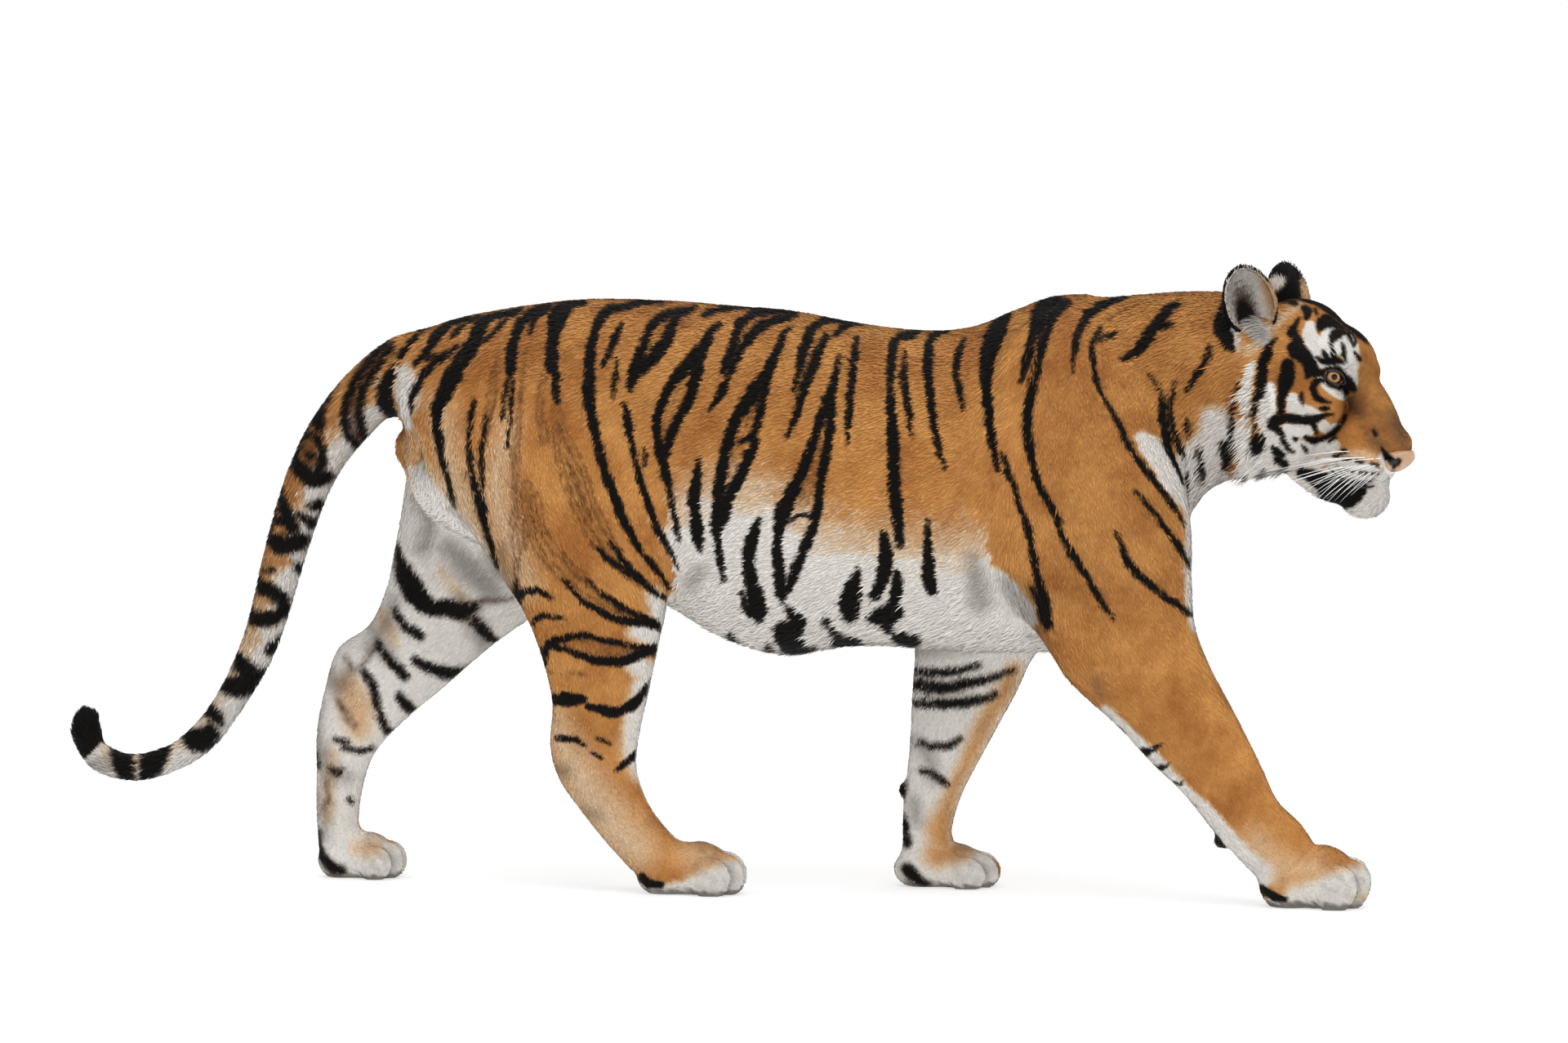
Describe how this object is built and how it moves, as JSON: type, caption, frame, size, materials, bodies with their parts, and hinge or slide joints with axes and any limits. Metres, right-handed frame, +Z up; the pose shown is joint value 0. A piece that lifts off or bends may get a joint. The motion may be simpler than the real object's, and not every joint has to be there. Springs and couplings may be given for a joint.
{
  "type": "tiger",
  "caption": "Life-size still model of an adult male tiger walking, head raised and turned a little to its right, tail hanging in a curve; rests on its four paws.",
  "frame": {"origin": "on the floor under the middle of the animal's overall box", "axes": "+X from tail to nose, +Y to the animal's left, +Z up"},
  "size_m": [2.2245, 0.415, 1.0245],
  "materials": {
    "coat": "matt",
    "pale_coat": "matt",
    "dark_coat": "matt",
    "nose_leather": "satin",
    "eye": "gloss"
  },
  "bodies": {
    "root": {"torso": "coat", "neck": "coat", "head": "coat", "lower_jaw": "pale_coat", "nose": "nose_leather", "eye_right": "eye", "ear_right": "pale_coat", "eye_left": "eye", "ear_left": "pale_coat", "tail_root": "coat", "tail_middle": "pale_coat", "tail_tip": "dark_coat", "fore_right_upper_arm": "coat", "fore_right_forearm": "coat", "fore_right_paw": "pale_coat", "fore_left_upper_arm": "coat", "fore_left_forearm": "pale_coat", "fore_left_paw": "pale_coat", "hind_right_thigh": "coat", "hind_right_shank": "coat", "hind_right_paw": "pale_coat", "hind_left_thigh": "coat", "hind_left_shank": "pale_coat", "hind_left_paw": "pale_coat"}
  },
  "joints": []
}
